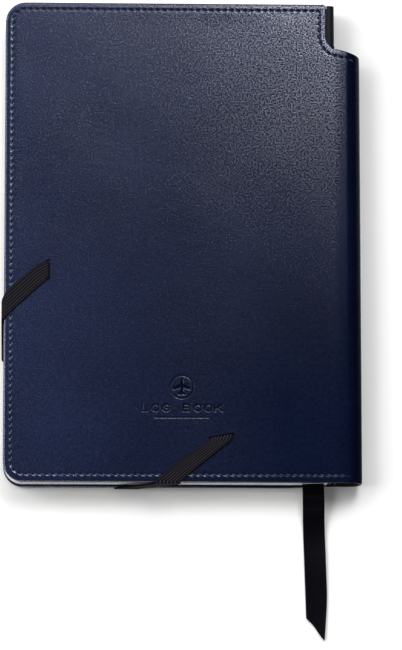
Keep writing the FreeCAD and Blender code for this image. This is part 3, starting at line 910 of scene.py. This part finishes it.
# ---- stitching
def sewn_line():
    """Points along the sewn line on the flat leather, and how far along it each of them is."""
    outline, seam_start = skin_outline(STITCH_INSET, 0.25)
    line = [Vector(p) for p in outline[:seam_start] if p[0] < STITCH_END + 3.0]
    lengths = [0.0]
    for a, b in zip(line, line[1:]):
        lengths.append(lengths[-1] + (b - a).length)
    return line, lengths


def at_length(line, lengths, s):
    """The point that is s along a line, and the line's direction there."""
    i = min(max(int(np.searchsorted(lengths, s)) - 1, 0), len(line) - 2)
    run = line[i + 1] - line[i]
    t = (s - lengths[i]) / max(run.length, 1e-6)
    return line[i] + run * t, run.normalized()


STITCH_LIFTS = (-0.42, -0.02, 0.12, 0.16, 0.12, -0.02, -0.42)
STITCH_GIRTH = 0.165
STITCH_SIDES = 7
FRONT_SUNK = 0.32                    # the front cover's stitches lie below its face, which the book rests on
HOLE_SIDES = 10


def stitches(name, side):
    """Thread that comes up through one hole, crosses the groove a little aslant and goes down the next."""
    line, lengths = sewn_line()
    points, faces = [], []
    hole_points, hole_faces = [], []
    sunk = 0.0 if side > 0 else FRONT_SUNK
    hole_top = 0.02 if side > 0 else -0.02
    for k in range(int(lengths[-1] / STITCH_PITCH)):
        here, ahead = at_length(line, lengths, k * STITCH_PITCH)
        if here.x > STITCH_END:
            continue
        slant = 0.3 + random.uniform(-0.06, 0.06)
        faces += tube(len(points), len(STITCH_LIFTS), STITCH_SIDES)
        for step, lift in enumerate(STITCH_LIFTS):
            t = step / (len(STITCH_LIFTS) - 1)
            place, way = at_length(line, lengths, (k + 0.13 + 0.74 * t) * STITCH_PITCH)
            across = Vector((-way.y, way.x))
            place = place + across * (slant * (1 - 2 * t))
            girth = STITCH_GIRTH * (0.75 + 0.25 * math.sin(math.pi * t))
            for i in range(STITCH_SIDES):
                turn = 2 * math.pi * i / STITCH_SIDES
                spot = place + across * (girth * math.cos(turn))
                height = lift - sunk + 0.8 * girth * math.sin(turn)
                points.append(wrapped(spot.x, spot.y, height, side))
        # A near-black plug sits in each hole, as painted shade.
        across = Vector((-ahead.y, ahead.x))
        hole_faces += tube(len(hole_points), 2, HOLE_SIDES)
        for height, share in ((hole_top, 1.0), (-0.5, 0.6)):
            for i in range(HOLE_SIDES):
                turn = 2 * math.pi * i / HOLE_SIDES
                off = ahead * (0.56 * share * math.cos(turn)) + across * (0.3 * share * math.sin(turn))
                hole_points.append(wrapped(here.x + off.x, here.y + off.y, height, side))
    thread = mesh_piece(name + "_stitches", points, faces, stitch_thread)
    holes = mesh_piece(name + "_stitch_holes", hole_points, hole_faces, hole_shade, False)
    return thread, holes


for name, side, cover in (("back", 1, "back_cover"), ("front", -1, "front_cover")):
    thread, holes = stitches(name, side)
    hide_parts(cover + "_stitching")
    for piece in (thread, holes):
        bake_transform(piece)
    if side > 0:
        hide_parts("pen_sleeve_stitching")


# ---- elastic strap
def band(name, sections):
    """A flat ribbed band through sections of (forward edge, behind edge, outward normal)."""
    across = STRAP_RIBS * 4
    shape = [0.5 * STRAP_T * (0.62 + 0.38 * math.sqrt(abs(math.sin(math.pi * STRAP_RIBS * i / across))))
             for i in range(across + 1)]
    shape[0] = shape[-1] = 0.5 * STRAP_T * 0.35
    points, own = [], []
    middle_before = None
    length = 0.0
    for forward, behind, normal in sections:
        forward, behind = Vector(forward), Vector(behind)
        normal = Vector(normal).normalized()
        middle = (forward + behind) / 2
        length += (middle - middle_before).length if middle_before else 0.0
        middle_before = middle
        for way, i in there_and_back(across):
            t = i / across
            points.append(forward.lerp(behind, t) + normal * (way * shape[i]))
            own.append((length, t, way))
    obj = mesh_piece(name, points, flat_tube(len(sections), across), elastic)
    carry(obj, "along", own)
    return obj


def curve_through(points, count):
    """Evenly spaced points on a smooth curve through the given ones."""
    points = [Vector(p) for p in points]
    ends = [points[0] * 2 - points[1]] + points + [points[-1] * 2 - points[-2]]
    found = []
    for i in range(1, len(ends) - 2):
        p0, p1, p2, p3 = ends[i - 1:i + 3]
        for k in range(12):
            t = k / 12
            found.append(0.5 * (2 * p1 + (p2 - p0) * t + (2 * p0 - 5 * p1 + 4 * p2 - p3) * t * t
                                + (3 * p1 - p0 - 3 * p2 + p3) * t ** 3))
    found.append(points[-1])
    lengths = [0.0]
    for a, b in zip(found, found[1:]):
        lengths.append(lengths[-1] + (b - a).length)
    even = []
    for k in range(count):
        place, _ = at_length(found, lengths, lengths[-1] * k / (count - 1))
        even.append(place)
    return even


STRAP_Z = TOP + 0.08 + STRAP_T / 2   # the band's middle on the back cover
STRAP_UNDER = 0.5                    # and in its channel on the front cover
TURN_R = 0.75                        # how tightly the band turns over an edge, at its middle
FORE_DRIFT = (3.0, 0.8)              # how far its two edges slant towards the tail as it turns the fore edge
UP, DOWN, TO_FORE, TO_TAIL = (0, 0, 1), (0, 0, -1), (-1, 0, 0), (0, -1, 0)


def strand_sections(forward, behind, out):
    """From inside the slit, up and over its lip, then flat across the leather to the edge."""
    ahead = curve_through(forward, 26)
    back = curve_through(behind, 26)
    lip = Vector((*out, 0))
    sections = []
    for turn, sink in ((0, 1.3), (0, 0.0), (30, 0.0), (60, 0.0)):
        angle = math.radians(turn)
        place = lip * (TURN_R * (1 - math.sin(math.pi / 2 - angle)))
        height = STRAP_Z - TURN_R + TURN_R * math.sin(angle) - sink
        normal = -lip * math.cos(angle) + Vector((0, 0, math.sin(angle)))
        sections.append((Vector((*ahead[0], height)) + place, Vector((*back[0], height)) + place, normal))
    for a, b in zip(ahead[1:], back[1:]):
        sections.append((Vector((*a, STRAP_Z)) + lip * 0.3, Vector((*b, STRAP_Z)) + lip * 0.3, UP))
    return sections


def turn_over(start, end, before, after, steps=8):
    """Sections that turn about a rounded edge, drifting from one pair of turning centres to the other."""
    before, after = Vector(before), Vector(after)
    sections = []
    for step in range(steps + 1):
        t = step / steps
        angle = math.pi / 2 * t
        normal = before * math.cos(angle) + after * math.sin(angle)
        sections.append((*[a.lerp(b, t) + normal * TURN_R for a, b in zip(start, end)], normal))
    return sections


upper = strand_sections(UPPER_FORWARD, UPPER_BEHIND, (-1, 0))
lower = strand_sections(LOWER_FORWARD, LOWER_BEHIND, (-0.18, -0.98))

edge_in = TURN_R - (STRAP_T / 2 + 0.06)            # how far inside the edge the turn's centre is
fore_x = FORE + edge_in
tail_y = TAIL + edge_in
high = STRAP_Z - TURN_R
low = STRAP_UNDER + TURN_R
# Turning centres of the band's forward and behind edges, at each of the book's edges.
fore_top = [Vector((fore_x, edge[-1][1] - 0.2, high)) for edge in (UPPER_FORWARD, UPPER_BEHIND)]
fore_low = [Vector((fore_x, y, low)) for y in FORE_BOTTOM]
tail_top = [Vector((edge[-1][0] - 0.2, tail_y, high)) for edge in (LOWER_FORWARD, LOWER_BEHIND)]
tail_low = [Vector((x, tail_y - 0.4, low)) for x in TAIL_BOTTOM]


def moved(pair, normal):
    """The band's edges off their turning centres."""
    return [point + Vector(normal) * TURN_R for point in pair]


def between(pair_a, pair_b, normal, count):
    """Flat sections from one pair of turning centres to another."""
    a, b = moved(pair_a, normal), moved(pair_b, normal)
    return [(a[0].lerp(b[0], i / count), a[1].lerp(b[1], i / count), normal) for i in range(1, count)]


upper[-1] = (*moved(fore_top, UP), UP)
lower[-1] = (*moved(tail_top, UP), UP)
fore_side = [centre - Vector((0, drift, 0)) for centre, drift in zip(fore_top, FORE_DRIFT)]
loop = turn_over(fore_top, fore_side, UP, TO_FORE)
loop += between(fore_side, fore_low, TO_FORE, 8)
loop += turn_over(fore_low, fore_low, TO_FORE, DOWN)
loop += between(fore_low, tail_low, DOWN, 26)
loop += turn_over(tail_low, tail_low, DOWN, TO_TAIL)
loop += between(tail_low, tail_top, TO_TAIL, 8)
loop += turn_over(tail_top, tail_top, TO_TAIL, UP)

for name, sections in (("strap_upper_strand", upper), ("strap_lower_strand", lower)):
    strand = band(name, sections)
    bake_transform(strand)
strap_loop = band("strap_loop", loop)
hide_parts("closure_strap")
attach(strap_loop, "strap")
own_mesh(strap_loop)


# ---- pages
def leaf_stations(x0, x1, r):
    """Where a leaf has points across it: round its corners, over its width, and closer at the spine."""
    xs = [x0 + r * (1 - math.cos(math.radians(a))) for a in range(0, 91, 10)]
    xs += [x0 + r + (x1 - 15 - x0 - r) * t for t in (0.2, 0.4, 0.6, 0.8)]
    xs += [x1 - 15 + i for i in range(16)]
    return xs


LEAF_CORNER = 6.8


def pages(name, node, count, body, material, turns=False, proud=0.0):
    """A signature as separate leaves, each a little out of line with the next. Those of a body that turns
    bend at the spine. proud is how far they stand out at the tail."""
    lo, hi = mm_box(node)
    pitch = (hi.z - lo.z) / count
    leaf_t = pitch * 0.84
    r = LEAF_CORNER
    points, own, faces = [], [], []
    for leaf in range(count):
        dx = random.uniform(0.0, 0.16)
        dy = random.uniform(-0.09, 0.09)
        z0 = lo.z + pitch * leaf + (pitch - leaf_t) / 2
        xs = leaf_stations(lo.x + dx, hi.x, r)
        faces += tube(len(points), len(xs), 4)
        for x in xs:
            into = max(r - (x - lo.x - dx), 0.0)
            cut = r - math.sqrt(max(r * r - into * into, 0.0))
            y0, y1 = lo.y + 0.1 + cut - proud, hi.y - 0.1 - cut
            for y, z in ((y0, z0), (y1, z0), (y1, z0 + leaf_t), (y0, z0 + leaf_t)):
                points.append((x, y + dy, z))
                own.append((x - lo.x, y - lo.y, 0.0))
    obj = mesh_piece(name, points, faces, material, False)
    carry(obj, "page", own)
    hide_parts(node)
    if turns:
        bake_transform(obj)
    else:
        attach(obj, body)


for number in range(1, 9):
    pages("pages_%02d" % number, "signature_%02d" % number, 8, "text_block", ruled_page)
pages("front_flyleaf_sheet", "front_flyleaf", 2, "text_block", endpaper, proud=0.2)
pages("pages_09", "signature_09", 6, "later_leaves", ruled_page, turns=True)
pages("pages_10", "signature_10", 6, "last_leaves", ruled_page, turns=True)
pages("back_flyleaf_sheet", "back_flyleaf", 2, "back_endleaf", endpaper, turns=True)


# ---- head bands
def corded_band(name, node):
    """A small roll wound with thread, sewn to the end of the spine."""
    lo, hi = mm_box(node)
    centre = ((lo.x + hi.x) / 2, (lo.y + hi.y) / 2)
    radius = (hi.x - lo.x) / 2
    rings, sides = 72, 14
    points = []
    for k in range(rings + 1):
        z = lo.z + (hi.z - lo.z) * k / rings
        girth = radius * (0.9 + 0.1 * math.sin(2 * math.pi * k / 6))
        for i in range(sides):
            turn = 2 * math.pi * i / sides
            points.append((centre[0] + girth * math.cos(turn), centre[1] + girth * math.sin(turn), z))
    obj = mesh_piece(name, points, tube(0, rings + 1, sides), band_cloth)
    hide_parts(node)
    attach(obj, "text_block")


corded_band("head_band_roll", "head_band")
corded_band("tail_band_roll", "tail_band")


# ---- ribbon
RIBBON_W = 8.5
RIBBON_T = 0.28
RIBBON_CUT = 9.0                     # how far the slanted cut takes
RIBBON_DRAWN_IN = 2.0                # how far the spine side draws in towards the tip
RIBBON_TIP = 1.6                     # the last of the tip is too narrow to count as the cord's length
ribbon_x = 51.0 + SHIFT
ribbon_y = -94.75 + SHIFT
ribbon_yaw = math.radians(1.8)
# The route's points: distance out from the pages, and height.
RIBBON_ROUTE = [(0.0, 6.75), (6.5, 6.3), (12.5, 2.4), (20.5, 0.55), (32.0, 1.15), (46.5, 0.5), (61.0, 0.75)]


def route_line(route):
    """The points along a smooth line that has the route as its control points."""
    curve = bpy.data.curves.new("route", "CURVE")
    curve.dimensions = "3D"
    curve.resolution_u = 24
    spline = curve.splines.new("NURBS")
    spline.points.add(len(route) - 1)
    for point, (s, z) in zip(spline.points, route):
        x = ribbon_x + s * math.sin(ribbon_yaw)
        y = ribbon_y - s * math.cos(ribbon_yaw)
        point.co = (x * MM, y * MM, z * MM, 1.0)
    spline.order_u = 3
    spline.use_endpoint_u = True
    holder = bpy.data.objects.new("route", curve)
    bpy.context.scene.collection.objects.link(holder)
    line = bpy.data.meshes.new_from_object(holder)
    points = [Vector(v.co) / MM for v in line.vertices]
    bpy.data.objects.remove(holder)
    return points


def ribbon():
    """The free end: a flat band along the route, bowed across, creased where it leaves the book, its far end
    cut on a slant. Returns the piece and the line along its middle."""
    line = route_line(RIBBON_ROUTE)
    whole = sum((b - a).length for a, b in zip(line, line[1:]))
    across = 16
    points, own = [], []
    length = 0.0
    for k, centre in enumerate(line):
        length += (centre - line[k - 1]).length if k else 0.0
        ahead = (line[min(k + 1, len(line) - 1)] - line[max(k - 1, 0)]).normalized()
        spineward = Vector((-ahead.y, ahead.x, 0)).normalized()
        up = ahead.cross(spineward)
        up = up if up.z > 0 else -up
        curl = 0.35 * smooth_step(length, 14, 30) * (0.6 + 0.4 * math.sin(length / 9.0))
        fold = 0.3 * math.exp(-((length - 5.4) / 0.55) ** 2)
        near_tip = length > whole - RIBBON_CUT - 3
        for way, i in there_and_back(across):
            t = i / across - 0.5
            thick = RIBBON_T / 2 * (1.25 if abs(t) > 0.43 else 1.0)
            drawn_in = RIBBON_DRAWN_IN * smooth_step(length, 42, 70) * smooth_step(t, -0.3, 0.5)
            cut_at = whole - RIBBON_CUT * (0.5 - t)
            pull = min(0.0, cut_at - length) if near_tip else 0.0
            height = way * thick + curl * (2 * t) ** 2 + fold
            points.append(centre + spineward * (RIBBON_W * t - drawn_in) + up * height + ahead * pull)
            own.append((length, i / across, way))
    obj = mesh_piece("ribbon_end", points, flat_tube(len(line), across), satin)
    carry(obj, "along", own)
    left = [sum((b - a).length for a, b in zip(line[k:], line[k + 1:])) for k in range(len(line))]
    return obj, [point for point, rest in zip(line, left) if rest > RIBBON_TIP]


ribbon_end, ribbon_line = ribbon()
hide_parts("ribbon_tail")
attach(ribbon_end, "text_block")


# ---- CAD pieces that show as they are
kept = {
    "pen_sleeve_lining": lining_cloth,
    "spine_liner": spine_leather,
    "spine_mull": binding_cloth,
    "sewing_threads": stitch_thread,
    "ribbon_inner": satin,
    "back_cover_board": binder_board,
    "front_cover_board": binder_board,
    "back_cover_lining": endpaper,
    "front_cover_lining": endpaper,
    "strap_patch_upper": binding_cloth,
    "strap_patch_lower": binding_cloth,
}
for node, material in kept.items():
    piece = frame["nodes"][node]
    piece.data.materials.clear()
    piece.data.materials.append(material)


# ---- floor and light
bpy.ops.mesh.primitive_plane_add(size=6.0, location=(0, 0, 0))
floor = bpy.context.object
floor.name = "floor"
pale_paint = Nodes("floor_paint").finish((0.93, 0.93, 0.93, 1.0), 0.9, Specular_IOR_Level=0.1)
floor.data.materials.append(pale_paint)


def softbox(name, place, width, height, power):
    """A rectangular light turned towards the book. place, width and height are in metres."""
    data = bpy.data.lights.new(name, "AREA")
    data.shape = "RECTANGLE"
    data.size = width
    data.size_y = height
    data.energy = power
    painted_rib_highlight = bpy.data.objects.new(name, data)
    painted_rib_highlight.location = place
    painted_rib_highlight.rotation_euler = (-Vector(place)).to_track_quat("-Z", "Y").to_euler()
    painted_rib_highlight.visible_camera = False
    bpy.context.scene.collection.objects.link(painted_rib_highlight)


# The small sheen box is near the mirror direction of the camera; the others fill from the sides.
softbox("sheen", (0.36, 0.78, 1.62), 0.55, 0.7, 13.0)
softbox("back", (-0.2, 2.0, 2.0), 3.0, 2.0, 50.0)
softbox("left", (-2.0, 0.4, 1.9), 2.0, 2.0, 66.0)
softbox("tail", (0.05, -1.5, 0.25), 0.9, 0.3, 7.0)
world = bpy.data.worlds.new("world")
bpy.context.scene.world = world
world.use_nodes = True
world.node_tree.nodes["Background"].inputs["Color"].default_value = (1.0, 1.0, 1.0, 1.0)
world.node_tree.nodes["Background"].inputs["Strength"].default_value = 0.08
